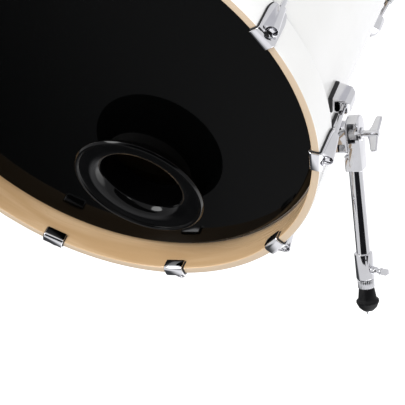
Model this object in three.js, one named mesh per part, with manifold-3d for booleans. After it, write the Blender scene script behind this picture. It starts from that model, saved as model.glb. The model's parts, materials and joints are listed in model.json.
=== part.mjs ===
// A 22 x 18 inch bass drum: shell, two heads, two wooden hoops, a flared port in the front head,
// ten lugs, tension rods and claw hooks at each end, and two folding, telescoping spurs.
// Millimetres, +Z up. The drum's axis lies along Y with the front head facing -Y, and the origin is
// on the floor, under the middle of the object's box.
import * as THREE from 'three';
import { mergeVertices } from 'three/addons/utils/BufferGeometryUtils.js';
import Module from 'manifold-3d';

const wasm = await Module();
wasm.setup();

// ---- driving dimensions ---------------------------------------------------------------------

// Shell, hoops and heads
const shellRadius = 279; // 22 inch drum
const shellWall = 7;
const shellDepth = 457; // 18 inches between bearing edges
const bearingEdge = 6; // inner chamfer of the bearing edge
const hoopOuterRadius = 297;
const hoopWall = 10.1;
const hoopDepth = 45.9;
const hoopChamfer = 1.2;
const filmSetback = 37; // from the hoop's outer edge back to the film
const filmThickness = 0.5;
const fleshRadius = 290.5; // aluminium ring that the film is set in, under the wooden hoop
const fleshDepth = 9;
const gap = 0.3; // clearance between touching pieces
const roundSegments = 48;

// Port in the front head: a soft flared ring that droops a little
const portCentre = { x: 56, z: -124.6 };
const portProud = 37.6; // rim centre in front of the film
const portDroop = THREE.MathUtils.degToRad(5.2);
const portRimRadius = 88;
const portThroatRadius = 52;
const portNeckRadius = 58;
const portFlangeRadius = 68; // clamps the film from behind
const portFlangeThickness = 4;
const portSegments = 32;

// Lugs, rods and claws; depths count from the outer edge of the nearest hoop
const lugCount = 10;
const lugStep = (2 * Math.PI) / lugCount;
const lugFront = 89;
const lugLength = 30;
const lugWidth = 22;
const lugOuterRadius = 305;
const lugShoulder = 299; // where its sides turn in towards the crown
const lugCrownWidth = 13;
const gasketThickness = 4.5;
const rodFrontRadius = 304.2; // distance of the rod's axis from the drum's, at rodFrontDepth
const rodFrontDepth = 4;
const rodLugRadius = 296.8; // and at the lug's mouth
const rodShaftRadius = 3;
const rodHeadRadius = 5;
const rodEndDepth = 109;
const keyFlat = 6.4; // square drum-key head
const clawWidth = 28;
const clawTailWidth = 22;
const clawLength = 45;
const clawBarrelRadius = 7.5;
const clawBarrelTail = 6;
const clawSocketRadius = 6.1;
const clawSocketDepth = 11;
const clawWall = 2.6;
const linerThickness = 1.2;

// Spurs: the leg leans forwards and outwards from its pivot to a spike on the floor
const spurPivot = new THREE.Vector3(294.6, 135, -90.8); // x, depth behind the front edge, z
const legForward = THREE.MathUtils.degToRad(29.05);
const legOutward = THREE.MathUtils.degToRad(15.52);
const jointPlane = -4.2; // where the holder meets its bracket, along the bolt's axis
const holderSide = 11.5;
const earRadius = 17;
const earCentre = -7.7; // along the leg; negative is above the pivot
const clampInside = -10;
const clampTop = 24;
const holderEnd = 45;
const tubeRadius = 8.7;
const tubeBore = 7;
const tubeTop = 26;
const collarRadius = 11.7;
const collarTop = 156;
const collarEnd = 191;
const rodRadius = 6;
const innerRodTop = 46;
const spikeTipRadius = 0.8;
const lockRingRadius = 10.9;
const lockRingTop = 192;
const footTop = 203;
const footEnd = 235.5;
const footFlange = 222;
const footFlangeRadius = 14.7;
const footTopRadius = 9.8;
const barrelNutRadius = 7;
const barrelNutEnd = 6.2;
const boltRadius = 3;
const washerRadius = 8.8;
const wingReach = 27;
const wingTwist = THREE.MathUtils.degToRad(52);
const heightBoltAlong = 178;
const heightBoltTurn = THREE.MathUtils.degToRad(-22);
const bracketTop = -18;
const bracketEnd = 22;
const bracketHalfWidth = 12.5;
const padHalfWidth = 25;
const padHalfDepth = 24;
const padThickness = 6.5;

const drumDepth = shellDepth + 2 * filmSetback;
const halfDrum = drumDepth / 2;
const hoopInnerRadius = hoopOuterRadius - hoopWall;

// ---- materials ------------------------------------------------------------------------------

const finishes = {
  lacquer: { color: 0xf2f1ee, roughness: 0.18, metalness: 0 },
  maple: { color: 0xc9a77c, roughness: 0.35, metalness: 0 },
  blackFilm: { color: 0x0b0c0d, roughness: 0.08, metalness: 0 },
  whiteFilm: { color: 0xe9e8e2, roughness: 0.35, metalness: 0 },
  chrome: { color: 0xd6d7da, roughness: 0.06, metalness: 1 },
  blackRubber: { color: 0x1c1c1d, roughness: 0.6, metalness: 0 },
  steel: { color: 0xb9bbbf, roughness: 0.25, metalness: 1 },
};

function material(finish) {
  return new THREE.MeshStandardMaterial(finishes[finish]);
}

// ---- solids ---------------------------------------------------------------------------------

function toSolid(geometry) {
  const bare = geometry.clone();
  bare.deleteAttribute('normal');
  bare.deleteAttribute('uv');
  const merged = mergeVertices(bare, 1e-3);
  const mesh = new wasm.Mesh({
    numProp: 3,
    vertProperties: new Float32Array(merged.attributes.position.array),
    triVerts: new Uint32Array(merged.index.array),
  });
  return new wasm.Manifold(mesh);
}

function toGeometry(solid) {
  const mesh = solid.getMesh();
  const geometry = new THREE.BufferGeometry();
  geometry.setAttribute('position', new THREE.BufferAttribute(new Float32Array(mesh.vertProperties), 3));
  geometry.setIndex(new THREE.BufferAttribute(new Uint32Array(mesh.triVerts), 1));
  return geometry;
}

function join(first, ...others) {
  let solid = toSolid(first);
  for (const other of others) {
    solid = solid.add(toSolid(other));
  }
  return toGeometry(solid);
}

function cut(first, ...tools) {
  let solid = toSolid(first);
  for (const tool of tools) {
    solid = solid.subtract(toSolid(tool));
  }
  return toGeometry(solid);
}

function common(first, second) {
  return toGeometry(toSolid(first).intersect(toSolid(second)));
}

function wrapped(points) {
  return toGeometry(wasm.Manifold.hull(points));
}

// A box given by its lowest and highest corners.
function block(low, high) {
  const size = high.map((value, axis) => value - low[axis]);
  const geometry = new THREE.BoxGeometry(...size);
  geometry.translate(...low.map((value, axis) => value + size[axis] / 2));
  return geometry;
}

// A solid of revolution about +Y; the profile is a list of [radius, y], anticlockwise seen with
// the radius to the right, on the axis at both ends or closed on itself.
function turned(profile, segments) {
  const points = profile.map(([radius, y]) => new THREE.Vector2(radius, y));
  return new THREE.LatheGeometry(points, segments);
}

// A straight cylinder along +Y.
function rod(radius, start, end, segments = 12) {
  return turned([[0, start], [radius, start], [radius, end], [0, end]], segments);
}

// An outline in X and Y, extruded along +Z from start to end.
function plate(outline, start, end) {
  const shape = new THREE.Shape(outline.map(([x, y]) => new THREE.Vector2(x, y)));
  const geometry = new THREE.ExtrudeGeometry(shape, { depth: end - start, bevelEnabled: false });
  geometry.translate(0, 0, start);
  return geometry;
}

function arc(centre, radius, startAngle, endAngle, steps) {
  const points = [];
  for (let step = 0; step <= steps; step += 1) {
    const angle = startAngle + ((endAngle - startAngle) * step) / steps;
    points.push([centre[0] + radius * Math.cos(angle), centre[1] + radius * Math.sin(angle)]);
  }
  return points;
}

function piece(name, geometry, finish) {
  const mesh = new THREE.Mesh(geometry, material(finish));
  mesh.name = name;
  return mesh;
}

// ---- shell, hoops and heads -----------------------------------------------------------------

function makeShell() {
  const end = shellDepth / 2 - filmThickness - gap;
  const round = 2.4;
  const inner = shellRadius - shellWall;
  const profile = [
    [inner, -end + bearingEdge],
    [shellRadius - round, -end],
    [shellRadius, -end + round],
    [shellRadius, end - round],
    [shellRadius - round, end],
    [inner, end - bearingEdge],
  ];
  profile.push(profile[0]);
  return piece('shell', turned(profile, roundSegments), 'lacquer');
}

// A wooden hoop whose outer edge is at y = 0 and which runs back along +Y.
function hoopGeometry() {
  const profile = [
    [hoopInnerRadius, hoopChamfer],
    [hoopInnerRadius + hoopChamfer, 0],
    [hoopOuterRadius - hoopChamfer, 0],
    [hoopOuterRadius, hoopChamfer],
    [hoopOuterRadius, hoopDepth],
    [hoopInnerRadius, hoopDepth],
  ];
  profile.push(profile[0]);
  return turned(profile, roundSegments);
}

// Film, its collar over the bearing edge and the flesh ring, with the film's face at y = 0.
function headGeometry() {
  const collar = shellRadius + gap;
  const ringTop = hoopDepth - filmSetback + gap;
  const profile = [
    [0, 0],
    [shellRadius - 1.5, 0],
    [collar + filmThickness, 2.2],
    [collar + filmThickness, ringTop],
    [fleshRadius, ringTop],
    [fleshRadius, ringTop + fleshDepth],
    [collar, ringTop + fleshDepth],
    [collar, 2.2 + filmThickness],
    [shellRadius - 1.8, filmThickness],
    [0, filmThickness],
  ];
  return turned(profile, roundSegments);
}

// Moves geometry made along the drum's axis onto the port's own, drooping axis, with the rim's
// centre at y = 0 in the port's frame.
function portMatrix() {
  const matrix = new THREE.Matrix4().makeRotationX(portDroop);
  matrix.setPosition(portCentre.x, -portProud, portCentre.z);
  return matrix;
}

function makeFrontHead() {
  const hole = rod(portNeckRadius + gap, portProud - 20, portProud + 20, portSegments);
  hole.applyMatrix4(portMatrix());
  const head = piece('front_head', cut(headGeometry(), hole), 'blackFilm');
  head.position.y = -halfDrum + filmSetback;
  return head;
}

function makePortInsert() {
  const back = portProud + filmThickness;
  const lean = Math.sin(portDroop) * portFlangeRadius; // the flange clears the film all round
  const flange = back + lean + 1;
  const profile = [
    [portRimRadius, 3],
    [portRimRadius - 3, 0],
    [portRimRadius - 6, 2.8],
    [portThroatRadius + 12, 4],
    [portThroatRadius + 5, 6.6],
    [portThroatRadius + 1.4, 11],
    [portThroatRadius, 18],
    [portThroatRadius, flange + portFlangeThickness],
    [portFlangeRadius, flange + portFlangeThickness],
    [portFlangeRadius, flange],
    [portNeckRadius, flange],
    [portNeckRadius, 29],
    [portNeckRadius + 4, 20],
    [portRimRadius - 9, 12],
    [portRimRadius - 1, 6.6],
  ];
  profile.push(profile[0]);
  const geometry = turned(profile.reverse(), portSegments);
  geometry.applyMatrix4(portMatrix());
  const insert = piece('port_insert', geometry, 'blackRubber');
  insert.position.y = -halfDrum + filmSetback;
  return insert;
}

// ---- lugs, rods and claws -------------------------------------------------------------------
// Each is made hanging below the drum's axis: x along the hoop, y the depth behind the hoop's outer
// edge, z = minus the distance from the drum's axis.

const rodSlope = (rodFrontRadius - rodLugRadius) / (lugFront - rodFrontDepth);
const rodAngle = Math.atan(rodSlope);

// Puts a piece made along +Y, with y the depth along the rod, onto the rod's sloping axis.
function ontoRodAxis(geometry) {
  geometry.translate(0, -rodFrontDepth, 0);
  geometry.rotateX(rodAngle);
  geometry.translate(0, rodFrontDepth, -rodFrontRadius);
  return geometry;
}

// A profile of [distance from the drum's axis, depth], extruded across the given width.
function crossPlate(profile, width) {
  const geometry = plate(profile.map(([radius, depth]) => [depth, -radius]), -width / 2, width / 2);
  geometry.applyMatrix4(new THREE.Matrix4().makeBasis(
    new THREE.Vector3(0, 1, 0),
    new THREE.Vector3(0, 0, 1),
    new THREE.Vector3(1, 0, 0),
  ));
  return geometry;
}

function lugGeometry() {
  const base = shellRadius + gasketThickness;
  const back = lugFront + lugLength;
  const body = crossPlate([
    [base, lugFront],
    [lugOuterRadius - 2, lugFront],
    [lugOuterRadius, lugFront + 2],
    [lugOuterRadius, back - 6],
    [lugOuterRadius - 3, back - 3],
    [base, back],
  ], lugWidth);
  const half = lugWidth / 2;
  const crown = lugCrownWidth / 2;
  const section = plate([
    [-half, -lugShoulder],
    [-crown, -lugOuterRadius],
    [crown, -lugOuterRadius],
    [half, -lugShoulder],
    [half, -base],
    [-half, -base],
  ], -back - 1, 1 - lugFront);
  section.rotateX(Math.PI / 2);
  const mouth = block([-7.4, lugFront - 1, -301.6], [7.4, rodEndDepth + 4, -base - 3]);
  return cut(common(body, section), mouth);
}

// Points round the rod's axis at a depth, and two on the claw's strap beneath it.
function shroudSection(depth, radius, strapHalf) {
  const axis = rodFrontRadius - rodSlope * (depth - rodFrontDepth);
  const strap = hoopOuterRadius + linerThickness + 1;
  const round = arc([0, -axis], radius, 0, 2 * Math.PI, 12).map(([x, z]) => [x, depth, z]);
  return [...round, [-strapHalf, depth, -strap], [strapHalf, depth, -strap]];
}

function clawGeometry() {
  const inside = hoopInnerRadius - linerThickness;
  const outside = hoopOuterRadius + linerThickness;
  const front = -linerThickness;
  const hook = crossPlate([
    [inside - clawWall, 12],
    [inside - clawWall, front - 1],
    [inside - clawWall + 1.6, front - clawWall],
    [outside + clawWall - 2, front - clawWall],
    [outside + clawWall, front - 0.4],
    [outside + clawWall, clawLength],
    [outside, clawLength],
    [outside, front],
    [inside, front],
    [inside, 12],
  ], clawWidth);
  const half = clawWidth / 2;
  const plan = plate([
    [-half, -10],
    [half, -10],
    [half, 30],
    [clawTailWidth / 2, clawLength + 1],
    [-clawTailWidth / 2, clawLength + 1],
    [-half, 30],
  ], -400, -200);
  const shroud = wrapped([
    ...shroudSection(rodFrontDepth, clawBarrelRadius, half - 2),
    ...shroudSection(clawLength - 2, clawBarrelTail, clawTailWidth / 2 - 2),
  ]);
  const socket = ontoRodAxis(rod(clawSocketRadius, rodFrontDepth - 5, rodFrontDepth + clawSocketDepth, 8));
  const bore = ontoRodAxis(rod(rodShaftRadius + 0.5, 0, clawLength + 10, 8));
  const seat = block([-20, 0, -outside], [20, clawLength + 20, -200]);
  return cut(join(common(hook, plan), cut(shroud, seat)), socket, bore);
}

// A tension rod with a square key head sunk in the claw's socket.
function tensionRodGeometry(reach = 0) {
  const head = rodFrontDepth + clawSocketDepth - 4;
  const half = keyFlat / 2;
  const key = block([-half, head - 6.5, -half], [half, head + 0.5, half]);
  const shaft = turned([
    [0, head],
    [rodHeadRadius, head],
    [rodHeadRadius, head + 3.6 + reach],
    [rodShaftRadius, head + 3.6 + reach],
    [rodShaftRadius, rodEndDepth],
    [0, rodEndDepth],
  ], 8);
  return ontoRodAxis(join(shaft, key));
}

// The swivel nut fills the lug's mouth on the rear sets, where lug, rod and claw are one piece.
function rearSetGeometry() {
  const reach = 1.2; // the rod's head bears on the socket's floor
  const nut = block([-8, lugFront + 4, -302], [8, lugFront + 16, -rodLugRadius + 5]);
  return join(lugGeometry(), nut, tensionRodGeometry(reach), clawGeometry());
}

// Places a fitting at one of the ten stations of an end; station 0 is the first one on the +X
// side of the bottom, and they go round towards +X and up.
function atStation(fitting, station, end) {
  const turn = new THREE.Group();
  const angle = lugStep * (station + 0.5);
  turn.rotation.y = -angle;
  fitting.position.y = -halfDrum;
  turn.add(fitting);
  if (end === 'front') {
    return turn;
  }
  const flip = new THREE.Group();
  flip.rotation.z = Math.PI;
  flip.add(turn);
  return flip;
}

// ---- spurs ----------------------------------------------------------------------------------
// Each is made in its own frame, with the pivot at the origin: x along the wing bolt, outwards,
// y to the rear and z up the leg, so a distance down the leg is -z.

function spurMatrix() {
  const down = new THREE.Vector3(Math.tan(legOutward), -Math.tan(legForward), -1).normalize();
  const out = new THREE.Vector3(1, 0, 0);
  out.addScaledVector(down, -down.x).normalize();
  const up = down.clone().negate();
  const rear = new THREE.Vector3().crossVectors(up, out);
  const matrix = new THREE.Matrix4().makeBasis(out, rear, up);
  matrix.setPosition(spurPivot.x, spurPivot.y - halfDrum, spurPivot.z);
  return matrix;
}

// An outline of [rearwards, down the leg], extruded along the bolt from start to end.
function sidePlate(outline, start, end) {
  const geometry = plate(outline.map(([rear, down]) => [rear, -down]).reverse(), start, end);
  geometry.applyMatrix4(new THREE.Matrix4().makeBasis(
    new THREE.Vector3(0, 1, 0),
    new THREE.Vector3(0, 0, 1),
    new THREE.Vector3(1, 0, 0),
  ));
  return geometry;
}

// A solid of revolution down the leg; the profile is a list of [radius, distance down the leg].
function downLeg(profile, segments = 16) {
  const geometry = turned(profile, segments);
  geometry.rotateX(-Math.PI / 2);
  return geometry;
}

// A solid of revolution along the bolt; the profile is a list of [radius, x].
function alongBolt(profile, segments = 16) {
  const geometry = turned(profile, segments);
  geometry.rotateZ(-Math.PI / 2);
  return geometry;
}

function bracketGeometry(matrix) {
  const face = jointPlane - 1.2;
  const outline = [
    ...arc([0, bracketTop + bracketHalfWidth], bracketHalfWidth, Math.PI, 2 * Math.PI, 8),
    [bracketHalfWidth - 4, bracketEnd],
    [-bracketHalfWidth + 4, bracketEnd],
  ];
  const arm = sidePlate(outline, -60, face);
  const bore = alongBolt([[0, -22], [boltRadius + 0.6, -22], [boltRadius + 0.6, 0], [0, 0]], 10);
  const slot = block([-18, -30, -20], [-8, -6, -10]);
  const bare = cut(arm, bore, slot);
  bare.applyMatrix4(matrix);
  const radius = shellRadius + gap;
  const shellSpace = rod(radius, -halfDrum, halfDrum, 180);
  const shoe = rod(radius + padThickness, -halfDrum, halfDrum, 180);
  const angle = Math.atan2(spurPivot.z, spurPivot.x);
  const window = block([240, -padHalfDepth, -padHalfWidth], [320, padHalfDepth, padHalfWidth]);
  window.rotateY(-angle);
  window.translate(0, spurPivot.y - halfDrum, 0);
  return cut(join(bare, common(shoe, window)), shellSpace);
}

function holderGeometry() {
  const ear = [
    ...arc([0, earCentre], earRadius, Math.PI, 2 * Math.PI, 8),
    [15, 14],
    [11.5, holderEnd],
    [-13, holderEnd],
    [-14, 14],
  ];
  const body = sidePlate(ear, jointPlane, holderSide);
  const clamp = block([clampInside, -13, -holderEnd], [0, 10, -clampTop]);
  const recess = block([jointPlane - 1, -30, -8], [barrelNutEnd + 0.5, barrelNutRadius + 1.5, 17]);
  const slot = block([0, -30, -boltRadius - 0.9], [holderSide + 5, 0, boltRadius + 0.9]);
  const boltHole = alongBolt([[0, -6], [boltRadius + 0.9, -6], [boltRadius + 0.9, 20], [0, 20]], 12);
  const tubeHole = downLeg([[0, tubeTop - 1], [tubeRadius + gap, tubeTop - 1], [tubeRadius + gap, 60], [0, 60]]);
  return cut(join(body, clamp), recess, slot, boltHole, tubeHole);
}

function wingBoltGeometry() {
  const washer = holderSide + gap;
  const hub = washer + 2;
  const shaft = alongBolt([
    [0, -20],
    [boltRadius, -20],
    [boltRadius, jointPlane + 0.4],
    [barrelNutRadius, jointPlane + 0.4],
    [barrelNutRadius, barrelNutEnd],
    [boltRadius, barrelNutEnd],
    [boltRadius, washer],
    [washerRadius, washer],
    [washerRadius, hub],
    [4.75, hub],
    [4.75, hub + 20],
    [0, hub + 20],
  ], 14);
  const wing = [
    [hub + 4, 0],
    [hub + 19, 0],
    [hub + 21, wingReach],
    [hub + 13, wingReach],
    [hub + 9, 11],
  ];
  const upper = plate(wing, -1.6, 1.6);
  const lower = plate(wing.map(([x, y]) => [x, -y]).reverse(), -1.6, 1.6);
  const wings = join(upper, lower);
  wings.rotateX(Math.PI / 2 - wingTwist);
  return join(shaft, wings);
}

function legTubeGeometry() {
  const bore = tubeBore;
  return downLeg([
    [bore, tubeTop],
    [tubeRadius, tubeTop],
    [tubeRadius, collarTop],
    [collarRadius - 1, collarTop],
    [collarRadius, collarTop + 1],
    [collarRadius, collarEnd - 2],
    [collarRadius - 1.5, collarEnd],
    [bore, collarEnd],
    [bore, tubeTop],
  ]);
}

function heightBoltGeometry() {
  const seat = collarRadius + gap;
  const half = keyFlat / 2;
  const body = alongBolt([
    [0, seat],
    [5, seat],
    [5, seat + 6],
    [3, seat + 9],
    [3, seat + 11],
    [4.6, seat + 13],
    [4.6, seat + 15],
    [0, seat + 15],
  ], 12);
  const key = block([seat + 14, -half, -half], [seat + 24, half, half]);
  const geometry = join(body, key);
  geometry.rotateZ(heightBoltTurn);
  geometry.translate(0, 0, -heightBoltAlong);
  return geometry;
}

function legRodGeometry(length) {
  return downLeg([
    [0, innerRodTop],
    [rodRadius, innerRodTop],
    [rodRadius, footEnd - 8],
    [4.4, footEnd - 7],
    [4.4, footEnd - 0.5],
    [spikeTipRadius, length],
    [0, length],
  ]);
}

function rubberFootGeometry() {
  const bore = rodRadius + gap;
  const tip = 4.4 + gap;
  return downLeg([
    [bore, lockRingTop],
    [lockRingRadius, lockRingTop],
    [lockRingRadius, footTop],
    [footTopRadius, footTop],
    [footFlangeRadius - 2.7, footFlange - 3],
    [footFlangeRadius, footFlange - 1],
    [footFlangeRadius, footFlange + 1.5],
    [footFlangeRadius - 3.5, footEnd - 5],
    [footFlangeRadius - 7.5, footEnd - 0.8],
    [tip, footEnd],
    [tip, footEnd - 6.6],
    [bore, footEnd - 7.6],
    [bore, lockRingTop],
  ]);
}

// ---- assembly -------------------------------------------------------------------------------

const drum = new THREE.Group();

drum.add(makeShell());
drum.add(makeFrontHead());
drum.add(makePortInsert());

const rearHead = piece('rear_head', headGeometry(), 'whiteFilm');
rearHead.position.y = halfDrum - filmSetback;
rearHead.rotation.z = Math.PI;
drum.add(rearHead);

const frontHoop = piece('front_hoop', hoopGeometry(), 'maple');
frontHoop.position.y = -halfDrum;
drum.add(frontHoop);

const rearHoop = piece('rear_hoop', hoopGeometry(), 'maple');
rearHoop.position.y = halfDrum;
rearHoop.rotation.z = Math.PI;
drum.add(rearHoop);

for (let station = 0; station < lugCount; station += 1) {
  const number = station + 1;
  drum.add(atStation(piece(`front_lug_${number}`, lugGeometry(), 'chrome'), station, 'front'));
  drum.add(atStation(piece(`front_claw_${number}`, clawGeometry(), 'chrome'), station, 'front'));
  drum.add(atStation(piece(`front_rod_${number}`, tensionRodGeometry(), 'steel'), station, 'front'));
  drum.add(atStation(piece(`rear_tension_set_${number}`, rearSetGeometry(), 'chrome'), station, 'rear'));
}

const spur = spurMatrix();
const steepness = new THREE.Vector3().setFromMatrixColumn(spur, 2).z;
const spikeEdge = spikeTipRadius * Math.sqrt(1 - steepness ** 2); // the blunt tip stands on its edge
const legLength = (hoopOuterRadius + spurPivot.z - spikeEdge) / steepness;

for (const [side, flip] of [['right', 1], ['left', -1]]) {
  const mirror = new THREE.Matrix4().makeScale(flip, 1, 1);
  const placed = (name, geometry, finish, inSpurFrame = true) => {
    if (inSpurFrame) {
      geometry.applyMatrix4(spur);
    }
    let solid = toSolid(geometry);
    if (flip < 0) {
      solid = solid.transform(mirror.toArray());
    }
    drum.add(piece(`${side}_${name}`, toGeometry(solid), finish));
  };
  placed('spur_bracket', bracketGeometry(spur), 'chrome', false);
  placed('leg_holder', holderGeometry(), 'chrome');
  placed('wing_bolt', wingBoltGeometry(), 'chrome');
  placed('leg_tube', legTubeGeometry(), 'chrome');
  placed('height_bolt', heightBoltGeometry(), 'chrome');
  placed('leg_rod', legRodGeometry(legLength), 'steel');
  placed('rubber_foot', rubberFootGeometry(), 'blackRubber');
}

drum.updateMatrixWorld(true);
const box = new THREE.Box3().setFromObject(drum, true);
drum.position.set(-(box.min.x + box.max.x) / 2, -(box.min.y + box.max.y) / 2, -box.min.z);
drum.updateMatrixWorld(true);

export default drum;
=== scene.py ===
"""Looks for the 22 x 18 inch bass drum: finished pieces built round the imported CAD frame."""

import json
import math

import bmesh
import bpy
from mathutils import Matrix, Vector


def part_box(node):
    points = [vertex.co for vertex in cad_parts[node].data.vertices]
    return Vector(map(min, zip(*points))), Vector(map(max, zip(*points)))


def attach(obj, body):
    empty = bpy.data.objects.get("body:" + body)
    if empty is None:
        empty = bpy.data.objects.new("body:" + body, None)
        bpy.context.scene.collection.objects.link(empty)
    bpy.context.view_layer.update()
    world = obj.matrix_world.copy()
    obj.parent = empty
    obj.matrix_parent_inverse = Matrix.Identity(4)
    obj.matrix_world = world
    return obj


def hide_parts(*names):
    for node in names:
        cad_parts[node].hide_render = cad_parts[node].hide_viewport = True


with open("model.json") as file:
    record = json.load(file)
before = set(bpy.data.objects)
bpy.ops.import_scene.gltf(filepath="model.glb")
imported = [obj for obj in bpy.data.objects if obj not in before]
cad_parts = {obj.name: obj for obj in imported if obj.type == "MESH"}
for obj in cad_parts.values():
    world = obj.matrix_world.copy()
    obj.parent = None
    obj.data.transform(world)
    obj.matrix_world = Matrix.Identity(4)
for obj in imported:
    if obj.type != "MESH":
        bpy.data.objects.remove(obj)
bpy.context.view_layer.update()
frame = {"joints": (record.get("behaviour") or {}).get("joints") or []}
joints = {joint["name"]: joint for joint in frame["joints"]}

# ---- driving dimensions ----
# Shapes are drawn in millimetres in local frames and are placed in metres by those frames.

MM = 0.001
LUGS = 10
SIDES = {"right": 1, "left": -1}
ENDS = ("front", "rear")
RING_STEPS = 288  # faces round the drum
PORT_STEPS = 160
ROUND_STEPS = 48  # faces round a fitting
SMALL_STEPS = 24  # faces round a bore or a screw

hoop_low, hoop_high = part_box("front_hoop")
shell_low, shell_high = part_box("shell")
port_low, port_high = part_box("port_insert")
AXIS_HEIGHT = (hoop_low.z + hoop_high.z) / 2
FRONT = hoop_low.y
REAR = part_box("rear_hoop")[1].y
HOOP_OUTER = (hoop_high.x - hoop_low.x) / 2 / MM
HOOP_DEPTH = (hoop_high.y - hoop_low.y) / MM
SHELL_OUTER = (shell_high.x - shell_low.x) / 2 / MM
SHELL_START = (shell_low.y - FRONT) / MM
SHELL_END = (shell_high.y - FRONT) / MM
FILM_DEPTH = (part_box("front_head")[0].y - FRONT) / MM

HOOP_WALL = 10.1
HOOP_INNER = HOOP_OUTER - HOOP_WALL
HOOP_EDGE = 1.8  # fillet of the edge that the claws hook over
SHELL_WALL = 7
SHELL_INNER = SHELL_OUTER - SHELL_WALL
BEARING_EDGE = 6
FILM_THICKNESS = 0.4
FILM_FLAT = SHELL_OUTER - 8  # where the film starts to bend down
CLOSED_HOLE = 0.0004  # the rear film has no port
FLESH_INNER = SHELL_OUTER + 2.5
FLESH_OUTER = HOOP_OUTER - 6.5
FLESH_DEPTH = 9
PLY_THICKNESS = 1.4

PORT_RIM = 88
PORT_THROAT = 52
PORT_NECK = 58
PORT_FLANGE = 68
PORT_FLANGE_AT = 45.3  # behind the rim
PORT_DROOP = math.radians(5.2)

GASKET = 4.3
LUG_FRONT = 89
LUG_BACK = 119
LUG_SHOULDER = 299
LUG_OUTER = 305
LUG_HALF = 11  # half a width, as the other halves
LUG_CROWN_HALF = 6.5
LUG_WALL = 3.2
CLAW_HALF = 14
CLAW_TAIL_HALF = 11
CLAW_LENGTH = 45
CLAW_WALL = 2.6
BARREL_RADIUS = 7.4
BARREL_TAIL = 5.6
LINER = 1.2
SOCKET_RADIUS = 6.1
SOCKET_MOUTH = 4
SOCKET_FLOOR = 15
ROD_RADIUS = 3
ROD_HEAD_RADIUS = 5
ROD_END = 109
THREAD_PITCH = 1.25
KEY_SIDE = 6.4

PAD_HALF_ARC = 25
PAD_HALF_DEPTH = 24
PAD_GASKET_TOP = SHELL_OUTER + 4.2
PAD_TOP = SHELL_OUTER + 6.6
BRACKET_HALF = 12.5
BRACKET_FOOT_HALF = 8.5
BRACKET_TOP = 18  # up the leg, from the spur's pivot
BRACKET_BOTTOM = -22
BRACKET_FACE = -5.4  # along the wing bolt, from the pivot
HOLDER_INNER = -4.2
HOLDER_OUTER = 11.5
HOLDER_BOTTOM = -45
EAR_RADIUS = 17
EAR_CENTRE = 7.7
BOLT_RADIUS = 3
BOLT_HOLE_RADIUS = 3.6
WASHER_RADIUS = 8.8
BARREL_NUT_RADIUS = 7
BARREL_NUT_END = 6.2
WING_REACH = 27
WING_THICKNESS = 3.2
WING_TWIST = math.radians(38)
TUBE_RADIUS = 8.7
TUBE_BORE = 7
TUBE_TOP = 26
COLLAR_RADIUS = 11.7
COLLAR_TOP = 156
COLLAR_END = 191
COLLAR_SLIT_TURN = math.radians(28)
INNER_ROD_RADIUS = 6
INNER_ROD_TOP = 46
INNER_ROD_END = 228.5
SPIKE_RADIUS = 4.4
SPIKE_TIP = 0.8
SPIKE_END = 242.15
LOCK_RING_RADIUS = 10.9
LOCK_RING_TOP = 192
FOOT_BORE = 6.3
FOOT_TOP = 203
FLANGE_AT = 222
FLANGE_RADIUS = 14.7
FOOT_END = 235.5

# ---- local frames ----

ALONG_X = Matrix.Rotation(math.pi / 2, 4, "Y")
ALONG_Y = Matrix.Rotation(-math.pi / 2, 4, "X")
DOWN = Matrix.Rotation(math.pi, 4, "X")


def drum_frame(end):
    """x across, z up from the drum's axis, y the depth behind that end's hoop edge."""
    edge = FRONT if end == "front" else REAR
    turn = Matrix.Rotation(0 if end == "front" else math.pi, 4, "Z")
    return Matrix.Translation((0, edge, AXIS_HEIGHT)) @ turn @ Matrix.Scale(MM, 4)


def station_frame(end, station):
    """A fitting hangs at z = minus its distance from the axis; stations run from the bottom."""
    angle = 2 * math.pi / LUGS * (station + 0.5)
    return drum_frame(end) @ Matrix.Rotation(-angle, 4, "Y")


def rod_frame():
    """Inside a station's frame: z runs along the tension rod, and equals the depth at its head."""
    to_station = station_frame("front", 0).inverted()
    joint = joints["front_rod_1_turn"]
    head = to_station @ Vector(joint["pos_m"])
    along = (to_station.to_3x3() @ Vector(joint["axis"])).normalized()
    lean = Matrix.Rotation(math.atan2(along.z, along.y), 4, "X")
    return Matrix.Translation(head) @ lean @ ALONG_Y @ Matrix.Translation((0, 0, -head.y))


def spur_frame(side):
    """From the leg's pivot: x along the wing bolt, outwards, y to the rear, z up the leg."""
    out = Vector(joints["right_leg_fold"]["axis"])
    up = -Vector(joints["right_leg_extend"]["axis"])
    rear = up.cross(out)
    axes = Matrix((out, rear, up)).transposed().to_4x4()
    right = Matrix.Translation(joints["right_leg_fold"]["pos_m"]) @ axes @ Matrix.Scale(MM, 4)
    return Matrix.Scale(SIDES[side], 4, (1, 0, 0)) @ right


def port_frame():
    """z runs back into the drum from the middle of the port's rim."""
    rim_centre = (port_low + port_high) / 2
    tilt = Matrix.Rotation(PORT_DROOP, 4, "X")
    reach = PORT_RIM * MM * math.sin(PORT_DROOP)
    front = Vector((rim_centre.x, port_low.y + reach, rim_centre.z))
    return Matrix.Translation(front) @ tilt @ Matrix.Scale(MM, 4) @ ALONG_Y


# ---- outlines and shapes ----
# An outline is a list of (x, y) or (x, y, fillet). A shape is a list of points and of faces.


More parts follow.
